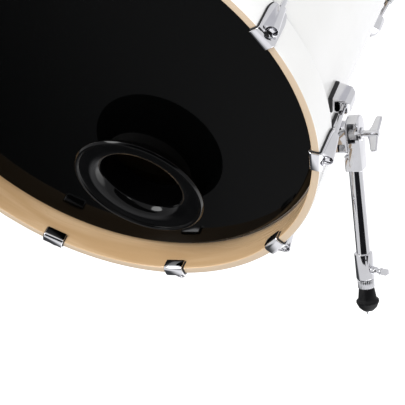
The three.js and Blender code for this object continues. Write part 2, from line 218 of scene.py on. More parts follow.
def rounded(corners, steps=5, closed=True):
    """The outline with each corner that has a fillet turned into an arc."""
    outline = []
    last = len(corners) - 1
    for index, corner in enumerate(corners):
        point = Vector(corner[:2])
        radius = corner[2] if len(corner) > 2 else 0
        if not radius or (not closed and index in (0, last)):
            outline.append(point)
            continue
        before = (Vector(corners[index - 1][:2]) - point).normalized()
        after = (Vector(corners[(index + 1) % len(corners)][:2]) - point).normalized()
        half = before.angle(after) / 2
        centre = point + (before + after).normalized() * radius / math.sin(half)
        start = point + before * radius / math.tan(half) - centre
        end = point + after * radius / math.tan(half) - centre
        sweep = math.atan2(start.x * end.y - start.y * end.x, start.dot(end))
        for step in range(steps + 1):
            outline.append(centre + Matrix.Rotation(sweep * step / steps, 2) @ start)
    return outline


def arc(centre, radius, start, end, steps=16):
    """Points round a centre, with the angles in degrees."""
    angles = [math.radians(start + (end - start) * step / steps) for step in range(steps + 1)]
    return [(centre[0] + radius * math.cos(a), centre[1] + radius * math.sin(a)) for a in angles]


def box_outline(low, high, fillet=0):
    corners = [(low[0], low[1]), (high[0], low[1]), (high[0], high[1]), (low[0], high[1])]
    return rounded([(x, y, fillet) for x, y in corners])


def lathe(profile, steps=ROUND_STEPS, closed=False):
    """Turns a profile of (radius, height) round the local z axis."""
    points, faces, rings = [], [], []
    for radius, height in profile:
        first = len(points)
        if radius < 1e-6:
            rings.append([first] * steps)
            points.append(Vector((0, 0, height)))
            continue
        rings.append(list(range(first, first + steps)))
        for step in range(steps):
            angle = 2 * math.pi * step / steps
            points.append(Vector((radius * math.cos(angle), radius * math.sin(angle), height)))
    pairs = list(zip(rings, rings[1:]))
    if closed:
        pairs.append((rings[-1], rings[0]))
    for low, high in pairs:
        for step in range(steps):
            after = (step + 1) % steps
            face = list(dict.fromkeys((low[step], low[after], high[after], high[step])))
            if len(face) > 2:
                faces.append(face)
    return points, faces


def turned(profile, steps=ROUND_STEPS, closed=False):
    return lathe(rounded(profile, closed=closed), steps, closed)


def peg(radius, low, high, steps=SMALL_STEPS):
    """A plain cylinder on the local z axis; most are cut away as bores."""
    return lathe([(0, low), (radius, low), (radius, high), (0, high)], steps)


def loft(rings, capped=True):
    """Joins rings that have the same number of points, and closes both ends."""
    count = len(rings[0])
    points = [Vector(point) for ring in rings for point in ring]
    faces = []
    for ring in range(len(rings) - 1):
        for step in range(count):
            low = ring * count + step
            after = ring * count + (step + 1) % count
            faces.append((low, after, after + count, low + count))
    if capped:
        faces.append(tuple(range(count)))
        faces.append(tuple(range(len(points) - count, len(points))))
    return points, faces


def prism(outline, low, high):
    """An outline in x and y, extruded along z."""
    return loft([[(x, y, z) for x, y in outline] for z in (low, high)])


def along_bolt(outline, low, high):
    """An outline of (y, z), extruded along x from low to high."""
    return loft([[(x, y, z) for y, z in outline] for x in (low, high)])


def block(low, high):
    return prism(box_outline(low, high), low[2], high[2])


def key_head(levels):
    """A square drum-key head, from a list of (scale, height)."""
    half = KEY_SIDE / 2
    square = box_outline((-half, -half), (half, half))
    return loft([[(x * scale, y * scale, z) for x, y in square] for scale, z in levels])


def hull(points):
    """The convex solid round the points."""
    wrap = bmesh.new()
    for point in points:
        wrap.verts.new(point)
    result = bmesh.ops.convex_hull(wrap, input=wrap.verts)
    inside = set(result["geom_unused"] + result["geom_interior"])
    bmesh.ops.delete(wrap, geom=list(inside), context="VERTS")
    bmesh.ops.dissolve_limit(wrap, angle_limit=math.radians(0.5), verts=wrap.verts, edges=wrap.edges)
    wrap.verts.index_update()
    corners = [vert.co.copy() for vert in wrap.verts]
    faces = [[vert.index for vert in face.verts] for face in wrap.faces]
    wrap.free()
    return corners, faces


def moved(shape, matrix):
    points, faces = shape
    return [matrix @ point for point in points], faces


def together(*shapes):
    points, faces = [], []
    for more_points, more_faces in shapes:
        first = len(points)
        points.extend(more_points)
        faces.extend([first + index for index in face] for face in more_faces)
    return points, faces


def fluted(radius, depth, flutes):
    """A round outline with shallow flutes, as on a knurled ring."""
    count = flutes * 4
    outline = []
    for step in range(count):
        angle = 2 * math.pi * step / count
        reach = radius - depth * (0.5 - 0.5 * math.cos(angle * flutes))
        outline.append((reach * math.cos(angle), reach * math.sin(angle)))
    return outline


# ---- meshes ----


def new_object(name, data):
    made = bpy.data.objects.new(name, data)
    bpy.context.scene.collection.objects.link(made)
    return made


def mesh_of(shape):
    """A clean mesh, with points that meet merged; a mesh is returned as it is."""
    if isinstance(shape, bpy.types.Mesh):
        return shape
    points, faces = shape
    mesh = bpy.data.meshes.new("shape")
    mesh.from_pydata([tuple(point) for point in points], [], faces)
    tidy = bmesh.new()
    tidy.from_mesh(mesh)
    bmesh.ops.remove_doubles(tidy, verts=tidy.verts, dist=1e-3)
    bmesh.ops.recalc_face_normals(tidy, faces=tidy.faces)
    tidy.to_mesh(mesh)
    tidy.free()
    return mesh


def carved(base, joined=(), cut=(), bevel=0.0, bevel_after=0.0):
    """The base shape with rounded edges, others joined to it and others cut away, as a mesh."""
    worked = new_object("worked", mesh_of(base))
    if bevel:
        add_bevel(worked, bevel)
    tools = []
    for operation, shapes in (("UNION", joined), ("DIFFERENCE", cut)):
        for shape in shapes:
            tool = new_object("tool", mesh_of(shape))
            tools.append(tool)
            boolean = worked.modifiers.new("boolean", "BOOLEAN")
            boolean.operation = operation
            boolean.solver = "EXACT"
            boolean.object = tool
    if bevel_after:
        add_bevel(worked, bevel_after)
    bpy.context.view_layer.update()
    evaluated = worked.evaluated_get(bpy.context.evaluated_depsgraph_get())
    result = bpy.data.meshes.new_from_object(evaluated)
    for used in [worked, *tools]:
        bpy.data.objects.remove(used)
    return result


def add_bevel(target, width):
    bevel = target.modifiers.new("bevel", "BEVEL")
    bevel.width = width
    bevel.segments = 3
    bevel.limit_method = "ANGLE"
    bevel.angle_limit = math.radians(32)


def place(name, source, local, body, material, slot, nodes=(), bevel=0.0, sharp=38):
    """Puts a shape or mesh into the row frame as a piece that rides on a body."""
    mesh = source.copy() if isinstance(source, bpy.types.Mesh) else mesh_of(source)
    mesh.name = name
    mesh.transform(local)
    if local.determinant() < 0:
        mesh.flip_normals()
    for each in material if isinstance(material, list) else [material]:
        mesh.materials.append(each)
    mesh.shade_smooth()
    piece = new_object(name, mesh)
    if bevel:
        add_bevel(piece, bevel * MM)
        weighted = piece.modifiers.new("normals", "WEIGHTED_NORMAL")
        weighted.keep_sharp = True
    else:
        mesh.set_sharp_from_angle(angle=math.radians(sharp))
    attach(piece, body)
    if nodes:
        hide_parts(*nodes)
    return piece


def paint(piece, index, chosen):
    """Gives a material index to the faces whose centre and normal are chosen, in the row frame."""
    for face in piece.data.polygons:
        if chosen(face.center, face.normal):
            face.material_index = index


# ---- materials ----


class Graph:
    """Adds nodes to a tree; an input is a plain value or another node's output."""

    def __init__(self, tree):
        self.tree = tree
        tree.nodes.clear()

    def add(self, kind, inputs=None, **settings):
        node = self.tree.nodes.new("ShaderNode" + kind)
        for key, value in settings.items():
            setattr(node, key, value)
        for key, value in (inputs or {}).items():
            if isinstance(value, bpy.types.NodeSocket):
                self.tree.links.new(value, node.inputs[key])
            else:
                node.inputs[key].default_value = value
        return node

    def math(self, operation, first, second=0.0):
        return self.add("Math", {0: first, 1: second}, operation=operation).outputs[0]

    def noise(self, vector, scale, detail=2.0, distortion=0.0):
        inputs = {"Vector": vector, "Scale": scale, "Detail": detail, "Distortion": distortion}
        return self.add("TexNoise", inputs).outputs["Fac"]

    def spread(self, value, low, high, to_low=0.0, to_high=1.0):
        inputs = {"Value": value, "From Min": low, "From Max": high, "To Min": to_low, "To Max": to_high}
        return self.add("MapRange", inputs, interpolation_type="SMOOTHSTEP").outputs[0]

    def mix(self, share, first, second, blend="MIX"):
        inputs = {0: share, 6: first, 7: second}
        return self.add("Mix", inputs, data_type="RGBA", blend_type=blend).outputs[2]

    def mottle(self, pattern, first, second, low=0.3, high=0.7):
        """Two colours that follow a noise pattern."""
        return self.mix(self.spread(pattern, low, high), first, second)

    def bump(self, height, strength, distance):
        inputs = {"Height": height, "Strength": strength, "Distance": distance}
        return self.add("Bump", inputs).outputs["Normal"]


def new_material(name, shade):
    """shade(graph) returns the linked and the plain inputs of the Principled shader."""
    material = bpy.data.materials.new(name)
    material.use_nodes = True
    graph = Graph(material.node_tree)
    shader = graph.add("BsdfPrincipled", shade(graph))
    graph.add("OutputMaterial", {"Surface": shader.outputs[0]})
    return material


def colour(red, green, blue):
    return (red, green, blue, 1.0)


def grey(level):
    return colour(level, level, level)


def place_of(graph):
    return graph.add("TexCoord").outputs["Object"]


def round_the_drum(graph):
    """Arc length round the drum's axis, depth and radius, in metres."""
    parts = graph.add("SeparateXYZ", {0: place_of(graph)})
    height = graph.math("SUBTRACT", parts.outputs["Z"], AXIS_HEIGHT)
    below = graph.math("MULTIPLY", height, -1.0)
    angle = graph.math("ARCTAN2", parts.outputs["X"], below)
    arc_length = graph.math("MULTIPLY", angle, HOOP_OUTER * MM)
    across_x = graph.math("MULTIPLY", parts.outputs["X"], parts.outputs["X"])
    across_z = graph.math("MULTIPLY", height, height)
    radius = graph.math("SQRT", graph.math("ADD", across_x, across_z))
    return arc_length, parts.outputs["Y"], radius


def maple_finish(graph, light=colour(0.80, 0.56, 0.33), dark=colour(0.67, 0.43, 0.22)):
    """Bent maple plies: grain along the hoop, glue lines on the edges, under clear lacquer."""
    arc_length, depth, radius = round_the_drum(graph)

    def stretched(along, over):
        inputs = {
            0: graph.math("MULTIPLY", arc_length, along),
            1: graph.math("MULTIPLY", depth, over),
            2: graph.math("MULTIPLY", radius, over),
        }
        return graph.add("CombineXYZ", inputs).outputs[0]

    figure = graph.noise(stretched(5.0, 55.0), 1.0, 3.0, 0.6)
    grain = graph.noise(stretched(14.0, 900.0), 1.0, 4.0)
    pores = graph.noise(stretched(60.0, 2200.0), 1.0, 2.0)
    base = graph.mottle(figure, light, dark, 0.3, 0.72)
    streaked = graph.mix(graph.spread(grain, 0.42, 0.75, 0.0, 0.45), base, dark)
    flecked = graph.mix(graph.spread(pores, 0.66, 0.78, 0.0, 0.4), streaked, colour(0.3, 0.16, 0.07))
    ply = graph.math("SINE", graph.math("MULTIPLY", radius, 2 * math.pi / (PLY_THICKNESS * MM)))
    normal = graph.add("SeparateXYZ", {0: graph.add("NewGeometry").outputs["Normal"]})
    on_edge = graph.spread(graph.math("ABSOLUTE", normal.outputs["Y"]), 0.6, 0.95)
    ply_line = graph.math("MULTIPLY", graph.spread(ply, 0.55, 1.0, 0.0, 0.35), on_edge)
    pale = graph.mix(graph.math("MULTIPLY", on_edge, 0.85), flecked, colour(0.61, 0.495, 0.37))
    plies = graph.mix(ply_line, pale, dark)
    return {
        "Base Color": plies,
        "Roughness": graph.spread(figure, 0.2, 0.8, 0.24, 0.36),
        "Normal": graph.bump(grain, 0.25, 0.00004),
        "Coat Weight": 0.35,
        "Coat Roughness": 0.12,
    }


def inner_ply_painted_shade_finish(graph):
    """The ply inside the shell in very dark maple tones, painted as the shade inside the drum."""
    return maple_finish(graph, colour(0.085, 0.05, 0.028), colour(0.05, 0.028, 0.014))


def lacquer_finish(graph):
    """Sprayed white gloss lacquer with a trace of orange peel."""
    at = place_of(graph)
    cloud = graph.noise(at, 9.0, 3.0)
    peel = graph.noise(at, 420.0, 2.0)
    return {
        "Base Color": graph.mottle(cloud, colour(0.90, 0.898, 0.885), colour(0.93, 0.93, 0.925)),
        "Roughness": graph.spread(cloud, 0.2, 0.8, 0.16, 0.24),
        "Normal": graph.bump(peel, 0.12, 0.00003),
        "Coat Weight": 0.6,
        "Coat Roughness": 0.04,
    }


def black_film_finish(graph):
    """Smooth gloss film: very slightly uneven, with a few dust specks in its gloss."""
    at = place_of(graph)
    wave = graph.noise(at, 14.0, 2.0)
    dust = graph.noise(at, 700.0, 3.0)
    return {
        "Base Color": graph.mottle(dust, colour(0.0008, 0.0009, 0.0009), grey(0.004), 0.74, 0.8),
        "Roughness": graph.spread(wave, 0.3, 0.7, 0.05, 0.08),
        "Normal": graph.bump(wave, 0.1, 0.0002),
        "Specular IOR Level": 0.047,
    }


def white_film_finish(graph):
    """A sprayed, slightly gritty white coating."""
    at = place_of(graph)
    grit = graph.noise(at, 1500.0, 3.0)
    cloud = graph.noise(at, 12.0, 3.0)
    return {
        "Base Color": graph.mottle(cloud, colour(0.80, 0.79, 0.755), colour(0.86, 0.855, 0.83)),
        "Roughness": graph.spread(grit, 0.3, 0.7, 0.48, 0.66),
        "Normal": graph.bump(grit, 0.35, 0.00008),
    }


def gloss_plastic_finish(graph):
    """Moulded black plastic, polished, with soft flow marks."""
    at = place_of(graph)
    flow = graph.noise(at, 30.0, 3.0, 0.5)
    return {
        "Base Color": graph.mottle(flow, colour(0.0007, 0.0007, 0.0008), colour(0.0014, 0.0014, 0.0015)),
        "Roughness": graph.spread(flow, 0.3, 0.7, 0.07, 0.11),
        "Normal": graph.bump(flow, 0.06, 0.0003),
        "Specular IOR Level": 0.18,
    }


def matt_plastic_finish(graph):
    """The unpolished back of the moulding."""
    grain = graph.noise(place_of(graph), 900.0, 3.0)
    return {
        "Base Color": graph.mottle(grain, grey(0.0016), grey(0.003)),
        "Roughness": graph.spread(grain, 0.3, 0.7, 0.5, 0.65),
        "Normal": graph.bump(grain, 0.2, 0.00005),
        "Specular IOR Level": 0.05,
    }


def rubber_finish(dark, bloomed):
    """Matt moulded rubber with a fine grain and a greyer bloom in places."""

    def shade(graph):
        at = place_of(graph)
        grain = graph.noise(at, 1800.0, 3.0)
        bloom = graph.noise(at, 90.0, 3.0)
        return {
            "Base Color": graph.mottle(bloom, dark, bloomed, 0.35, 0.75),
            "Roughness": graph.spread(grain, 0.3, 0.7, 0.42, 0.6),
            "Normal": graph.bump(grain, 0.3, 0.00006),
            "Specular IOR Level": 0.14,
        }

    return shade


def metal_finish(tint, rough_low, rough_high, bump_scale, bump_strength):
    """A polished or satin metal whose gloss varies a little, as plating does."""

    def shade(graph):
        at = place_of(graph)
        haze = graph.noise(at, 45.0, 4.0)
        fine = graph.noise(at, bump_scale, 2.0)
        low = colour(*[0.93 * part for part in tint])
        return {
            "Base Color": graph.mottle(haze, low, colour(*tint), 0.25, 0.75),
            "Metallic": 1.0,
            "Roughness": graph.spread(haze, 0.3, 0.75, rough_low, rough_high),
            "Normal": graph.bump(fine, bump_strength, 0.00003),
        }

    return shade


MAPLE = new_material("maple", maple_finish)
SHADED_INNER_PLY = new_material("inner_ply_painted_shade", inner_ply_painted_shade_finish)
LACQUER = new_material("white_lacquer", lacquer_finish)
BLACK_FILM = new_material("black_film", black_film_finish)
WHITE_FILM = new_material("white_film", white_film_finish)
PLASTIC = new_material("black_plastic", gloss_plastic_finish)
MATT_PLASTIC = new_material("black_plastic_back", matt_plastic_finish)
# One rubber in two tones: the pads' and liners' lighter tone is painted light from above, and the foot's
# darker tone is painted shade.
shaded_rubber_tones = colour(0.003, 0.003, 0.0035), colour(0.008, 0.008, 0.0085)
lit_rubber_tones = colour(0.030, 0.030, 0.031), colour(0.05, 0.05, 0.051)
SHADED_RUBBER = new_material("black_rubber", rubber_finish(*shaded_rubber_tones))
LIT_RUBBER = new_material("rubber_painted_lit", rubber_finish(*lit_rubber_tones))
CHROME = new_material("chrome", metal_finish((0.75, 0.75, 0.77), 0.035, 0.08, 250.0, 0.05))
STEEL = new_material("steel", metal_finish((0.78, 0.79, 0.81), 0.1, 0.18, 900.0, 0.1))
ALUMINIUM = new_material("aluminium", metal_finish((0.72, 0.72, 0.73), 0.25, 0.36, 1200.0, 0.2))

# ---- shell, hoops and heads ----


def radius_of(point):
    return math.hypot(point.x, point.z - AXIS_HEIGHT) / MM


def make_shell():
    half = (SHELL_START + SHELL_END) / 2
    front_half = [
        (SHELL_INNER, half),
        (SHELL_INNER, SHELL_START + BEARING_EDGE, 1),
        (SHELL_OUTER - 2.6, SHELL_START, 0.9),
        (SHELL_OUTER, SHELL_START + 2.6, 2),
        (SHELL_OUTER, half),
    ]
    front = rounded(front_half, closed=False)
    rear = [(radius, 2 * half - depth) for radius, depth in reversed(front)]
    shape = moved(lathe(front + rear[1:-1], RING_STEPS, closed=True), ALONG_Y)
    finishes = [MAPLE, LACQUER, SHADED_INNER_PLY]
    shell = place("shell_wood", shape, drum_frame("front"), "drum", finishes, "white_lacquer", ["shell"])
    paint(shell, 1, lambda centre, normal: radius_of(centre) > SHELL_OUTER - 0.2)
    # The inner face gets the dark ply finish: painted shade for the dark inside of the drum.
    paint(shell, 2, lambda centre, normal: radius_of(centre) < SHELL_INNER + 0.1)


def make_hoop(end):
    profile = [
        (HOOP_INNER, 0, HOOP_EDGE),
        (HOOP_OUTER, 0, HOOP_EDGE),
        (HOOP_OUTER, HOOP_DEPTH, 0.8),
        (HOOP_INNER, HOOP_DEPTH, 1.2),
    ]
    shape = moved(turned(profile, RING_STEPS, closed=True), ALONG_Y)
    finishes = [MAPLE, LACQUER]
    hoop = place(f"{end}_hoop_wood", shape, drum_frame(end), "drum", finishes, "maple", [f"{end}_hoop"])
    edge = FRONT if end == "front" else REAR

    def lacquered(centre, normal):
        """The outer face, and most of the fillet on the edge that the claws hook over."""
        near_edge = abs(centre.y - edge) / MM < HOOP_DEPTH / 2
        return radius_of(centre) > HOOP_OUTER - (0.9 if near_edge else 0.15)

    paint(hoop, 1, lacquered)


def film_collar():
    """The film from its flat part over the bearing edge to the flesh ring."""
    return rounded([
        (FILM_FLAT, FILM_DEPTH),
        (SHELL_OUTER - 1.5, FILM_DEPTH, 3),
        (HOOP_INNER - 1.8, HOOP_DEPTH - 0.5, 2),
        (HOOP_INNER - 1.2, HOOP_DEPTH + 2),
    ], closed=False)


def thicken(piece):
    """Gives a film its thickness; the weighted normals keep its flat free of shading."""
    solidify = piece.modifiers.new("thickness", "SOLIDIFY")
    solidify.thickness = FILM_THICKNESS * MM
    solidify.offset = -1
    piece.modifiers.new("normals", "WEIGHTED_NORMAL")


def film_shape(hole_centre, hole_radius):
    """Rings from the flat's outer edge to the hole in it, and the collar."""
    rings = []
    for share in (0, 0.1, 0.3, 0.6, 0.85, 1):
        middle = hole_centre * share
        radius = FILM_FLAT + (hole_radius - FILM_FLAT) * share
        ring = []
        for step in range(RING_STEPS):
            angle = 2 * math.pi * step / RING_STEPS
            x = middle.x + radius * math.cos(angle)
            z = middle.y + radius * math.sin(angle)
            ring.append((x, FILM_DEPTH, z))
        rings.append(ring)
    collar = moved(lathe(film_collar(), RING_STEPS), ALONG_Y)
    return together(loft(rings, capped=False), collar)


def make_front_film():
    port = port_frame()
    to_drum = drum_frame("front").inverted()
    start = to_drum @ port @ Vector((0, 0, 0))
    along = (to_drum @ port @ Vector((0, 0, 1)) - start).normalized()
    crossing = start + along * (FILM_DEPTH - start.y) / along.y
    film = film_shape(Vector((crossing.x, crossing.z)), PORT_NECK + 0.4)
    local = drum_frame("front")
    thicken(place("front_film", film, local, "drum", BLACK_FILM, "black_film", ["front_head"], sharp=60))


def make_rear_film():
    film = film_shape(Vector((0, 0)), CLOSED_HOLE)
    local = drum_frame("rear")
    thicken(place("rear_film", film, local, "drum", WHITE_FILM, "white_film", ["rear_head"], sharp=60))


def make_flesh_ring(end):
    start = HOOP_DEPTH + 0.4
    profile = [
        (FLESH_INNER, start, 0.8),
        (FLESH_OUTER, start, 1.6),
        (FLESH_OUTER, start + FLESH_DEPTH, 1.6),
        (FLESH_INNER, start + FLESH_DEPTH, 0.8),
    ]
    shape = moved(turned(profile, RING_STEPS, closed=True), ALONG_Y)
    place(f"{end}_flesh_ring", shape, drum_frame(end), "drum", ALUMINIUM, "steel")


def make_port():
    """A flared ring: rolled rim, shallow funnel, throat, neck through the film and flange."""
    flange = PORT_FLANGE_AT
    profile = rounded([
        (PORT_RIM, 3.4, 1.6),
        (PORT_RIM - 2.8, 0, 1.2),
        (PORT_RIM - 5.6, 0.4, 0.4),
        (PORT_RIM - 6.2, 3, 0.6),
        (PORT_THROAT + 15, 3.2, 20),
        (PORT_THROAT + 5, 6, 12),
        (PORT_THROAT, 16, 16),
        (PORT_THROAT, flange + 4, 1),
        (PORT_FLANGE, flange + 4, 1),
        (PORT_FLANGE, flange, 1),
        (PORT_NECK, flange, 0.5),
        (PORT_NECK, 29, 4),
        (PORT_NECK + 5, 19, 5),
        (PORT_RIM - 8, 12, 5),
    ], steps=8)
    shape = lathe(profile, PORT_STEPS, closed=True)
    port = port_frame()
    finishes = [PLASTIC, MATT_PLASTIC]
    ring = place("port_ring", shape, port, "drum", finishes, "black_plastic", ["port_insert"], sharp=70)
    middle = port @ Vector((0, 0, 0))
    back = (port @ Vector((0, 0, 1)) - middle).normalized()

    def hidden_side(centre, normal):
        depth = (centre - middle).dot(back)
        outwards = centre - middle - back * depth
        return normal.dot(back) > 0.05 or (normal.dot(outwards) > 0 and depth > 4 * MM)

    paint(ring, 1, hidden_side)


# ---- lugs, claws and tension rods ----


def lug_mesh():
    """A hollow casting with upright sides, a narrower crown and an open mouth for the rod."""
    base = -SHELL_OUTER - GASKET
    corners = [
        (LUG_HALF, LUG_FRONT, base),
        (LUG_HALF, LUG_BACK, base),
        (LUG_HALF - 0.4, LUG_FRONT, -LUG_SHOULDER),
        (LUG_HALF - 0.6, LUG_BACK - 2.4, -LUG_SHOULDER - 1),
        (LUG_CROWN_HALF + 1, LUG_FRONT, -LUG_OUTER + 2),
        (LUG_CROWN_HALF, LUG_FRONT + 2, -LUG_OUTER),
        (LUG_CROWN_HALF, LUG_BACK - 7, -LUG_OUTER),
        (LUG_CROWN_HALF + 0.5, LUG_BACK - 3.4, -LUG_OUTER + 3),
    ]
    body = hull([(side * x, y, z) for x, y, z in corners for side in (-1, 1)])
    mouth = box_outline((-7.6, -LUG_OUTER + LUG_WALL), (7.6, base - LUG_WALL), 2)
    tunnel = loft([[(x, y, z) for x, z in mouth] for y in (LUG_FRONT - 8, ROD_END + 4)])
    return carved(body, cut=[tunnel], bevel=1.1)


def gasket_shape():
    """A pad, hollowed underneath to sit on the round shell."""
    half = LUG_HALF + 1.2
    outline = box_outline((-half, LUG_FRONT - 1.2), (half, LUG_BACK + 1.2), 3)
    floor = SHELL_OUTER + 0.05
    bottom = [(x, y, -math.sqrt(floor**2 - x * x)) for x, y in outline]
    top = [(x, y, -SHELL_OUTER - GASKET + 0.05) for x, y in outline]
    return loft([bottom, top])


def swivel_nut_mesh():
    nut = prism(box_outline((-7, -4.6), (7, 4.6), 1.4), LUG_FRONT + 4, LUG_FRONT + 15)
    return carved(nut, cut=[peg(ROD_RADIUS + 0.1, LUG_FRONT, ROD_END + 5)], bevel=0.5)


def hook_path(offset):
    """The hoop's section, from inside its lip round its edge to its outer face, offset outwards."""
    reach = HOOP_EDGE + offset
    inner_centre = (HOOP_EDGE, HOOP_INNER + HOOP_EDGE)
    outer_centre = (HOOP_EDGE, HOOP_OUTER - HOOP_EDGE)
    path = [(12, HOOP_INNER - offset), (8, HOOP_INNER - offset)]
    path += arc(inner_centre, reach, 270, 180, 6)
    path += arc(outer_centre, reach, 180, 90, 6)
    steps = 24
    path += [(8 + (CLAW_LENGTH - 8) * step / steps, HOOP_OUTER + offset) for step in range(steps + 1)]
    return path


def hook(inner_offset, outer_offset, margin=0.0):
    """A strap that wraps the hoop's edge and narrows towards its tail."""

    def half_width(depth):
        taper = min(1, max(0, (depth - 28) / 14))
        corner = min(1, max(0, (depth - CLAW_LENGTH + 4) / 4))
        narrow = (CLAW_HALF - CLAW_TAIL_HALF) * taper * taper
        return CLAW_HALF - narrow - 3.5 * (1 - math.sqrt(1 - corner**2)) + margin

    rings = []
    for inner, outer in zip(hook_path(inner_offset), hook_path(outer_offset)):
        wide = half_width(outer[0])
        rings.append([
            (-wide, inner[0], -inner[1]),
            (wide, inner[0], -inner[1]),
            (wide, outer[0], -outer[1]),
            (-wide, outer[0], -outer[1]),
        ])
    return loft(rings)


def shroud_section(on_rod, depth, radius, strap_half):
    """Points round the rod's axis, and two on the claw's strap beneath them."""
    ring = [on_rod @ Vector((x, y, depth)) for x, y in arc((0, 0), radius, 0, 360, 40)]
    strap = -HOOP_OUTER - LINER - 1
    return ring + [(-strap_half, depth, strap), (strap_half, depth, strap)]


def claw_mesh():
    """The hook over the hoop, with a shroud on its outer leg for the rod's head."""
    on_rod = rod_frame()
    front = shroud_section(on_rod, SOCKET_MOUTH, BARREL_RADIUS, CLAW_HALF - 2.2)
    tail = shroud_section(on_rod, CLAW_LENGTH - 2.5, BARREL_TAIL, CLAW_TAIL_HALF - 2.5)
    seat = block((-20, 1, -HOOP_OUTER - LINER - 0.4), (20, 80, -200))
    shroud = carved(hull(front + tail), cut=[seat], bevel_after=0.8)
    socket = lathe([
        (0, -6),
        (SOCKET_RADIUS + 0.9, -6),
        (SOCKET_RADIUS + 0.9, SOCKET_MOUTH),
        (SOCKET_RADIUS, SOCKET_MOUTH + 1),
        (SOCKET_RADIUS, SOCKET_FLOOR),
        (0, SOCKET_FLOOR),
    ])
    bore = peg(ROD_RADIUS + 0.5, 0, 60)
    strap = hook(LINER, LINER + CLAW_WALL)
    return carved(strap, joined=[shroud], cut=[moved(socket, on_rod), moved(bore, on_rod)], bevel=0.9)


def rod_shape():
    """Square key head, round shoulder, shaft and rolled thread."""
    shoulder = SOCKET_FLOOR - 4
    profile = rounded([
        (0, shoulder),
        (ROD_HEAD_RADIUS, shoulder, 0.8),
        (ROD_HEAD_RADIUS, SOCKET_FLOOR - 0.4, 0.5),
        (ROD_RADIUS, SOCKET_FLOOR - 0.4),
        (ROD_RADIUS, LUG_FRONT - 7),
    ], 3, closed=False)
    thread = LUG_FRONT - 6
    turns = int((ROD_END - 1 - thread) / THREAD_PITCH)
    for turn in range(turns):
        start = thread + turn * THREAD_PITCH
        profile += [(ROD_RADIUS - 0.45, start), (ROD_RADIUS, start + THREAD_PITCH / 2)]
    profile += [(ROD_RADIUS - 0.8, ROD_END), (0, ROD_END)]
    key = key_head([(0.72, shoulder - 6.5), (1, shoulder - 5.2), (1, shoulder + 0.5)])
    return together(lathe(profile, 28), key)


def make_fittings():
    """A lug, claw and tension rod at each station; a rear set replaces one joined CAD piece."""
    lug = lug_mesh()
    claw = claw_mesh()
    nut = swivel_nut_mesh()
    gasket = mesh_of(gasket_shape())
    liner = mesh_of(hook(0.05, LINER - 0.05, margin=1.3))
    rod = mesh_of(rod_shape())
    on_rod = rod_frame()
    for end in ENDS:
        for station in range(LUGS):
            number = station + 1
            local = station_frame(end, station)
            name = f"{end}_{{}}_{number}"
            if end == "front":
                lug_nodes, claw_nodes = [f"front_lug_{number}"], [f"front_claw_{number}"]
                rod_nodes, rod_body = [f"front_rod_{number}"], f"front_tension_rod_{number}"
            else:
                lug_nodes, claw_nodes = [f"rear_tension_set_{number}"], []
                rod_nodes, rod_body = [], "drum"
            place(name.format("lug_body"), lug, local, "drum", CHROME, "chrome", lug_nodes, sharp=50)
            place(name.format("lug_gasket"), gasket, local, "drum", LIT_RUBBER, "black_rubber", bevel=0.6)
            place(name.format("swivel_nut"), nut, local @ on_rod, "drum", STEEL, "steel")
            place(name.format("claw_hook"), claw, local, "drum", CHROME, "chrome", claw_nodes, sharp=50)
            place(name.format("claw_liner"), liner, local, "drum", LIT_RUBBER, "black_rubber", bevel=0.3)
            place(name.format("tension_rod"), rod, local @ on_rod, rod_body, CHROME, "steel", rod_nodes)


# ---- spurs ----


def curved_pad(half_arc, half_depth, inner, outer, corner, edge):
    """A rounded rectangle bent to the shell: x outwards, y the depth, z along the arc."""
    outline = box_outline((-half_arc, -half_depth), (half_arc, half_depth), corner)
    shrink = edge / half_depth
    levels = [(1, inner), (1, outer - edge), (1 - shrink * 0.3, outer - edge * 0.3), (1 - shrink, outer)]
    levels += [(scale, outer) for scale in (0.75, 0.5, 0.25, 0.05)]
    rings = []
    for scale, radius in levels:
        ring = []
        for along, depth in outline:
            angle = along * scale / SHELL_OUTER
            ring.append((radius * math.cos(angle), depth * scale, radius * math.sin(angle)))
        rings.append(ring)
    return loft(rings)


def pad_frame(side):
    """x runs outwards from the drum's axis through the spur's pivot, y to the rear."""
    pivot = Vector(joints["right_leg_fold"]["pos_m"])
    angle = math.atan2(pivot.z - AXIS_HEIGHT, pivot.x)
    origin = Matrix.Translation((0, pivot.y, AXIS_HEIGHT))
    right = origin @ Matrix.Rotation(-angle, 4, "Y") @ Matrix.Scale(MM, 4)
    return Matrix.Scale(SIDES[side], 4, (1, 0, 0)) @ right


def bracket_outline(margin=0.0):
    """Round at the top, narrower at the bottom."""
    half = BRACKET_HALF + margin
    foot = BRACKET_FOOT_HALF + margin
    bottom = BRACKET_BOTTOM - margin
    top = arc((0, BRACKET_TOP - BRACKET_HALF), half, 0, 180, 20)
    return top + rounded([(-half, 0), (-foot, bottom, 2), (foot, bottom, 2), (half, 0)], closed=False)


def bracket_arm_mesh():
    """The arm that stands on the bracket's flange, with the slot in its front."""
    arm = along_bolt(bracket_outline(), -60, BRACKET_FACE)
    bore = moved(peg(BOLT_HOLE_RADIUS, -24, 0), ALONG_X)
    slot = block((-18, -30, -20), (-8, -6, -10))
    shell_space = moved(peg(PAD_GASKET_TOP + 0.4, 0, 300, 240), ALONG_Y)
    drum_to_spur = spur_frame("right").inverted() @ drum_frame("front")
    return carved(arm, cut=[moved(shell_space, drum_to_spur), bore, slot], bevel=1.2)


def joint_washer_mesh():
    """The recessed plate between the bracket and the leg holder."""
    plate = along_bolt(bracket_outline(-1.2), BRACKET_FACE + 0.05, HOLDER_INNER - 0.1)
    return carved(plate, cut=[moved(peg(BOLT_HOLE_RADIUS, -24, 0), ALONG_X)])


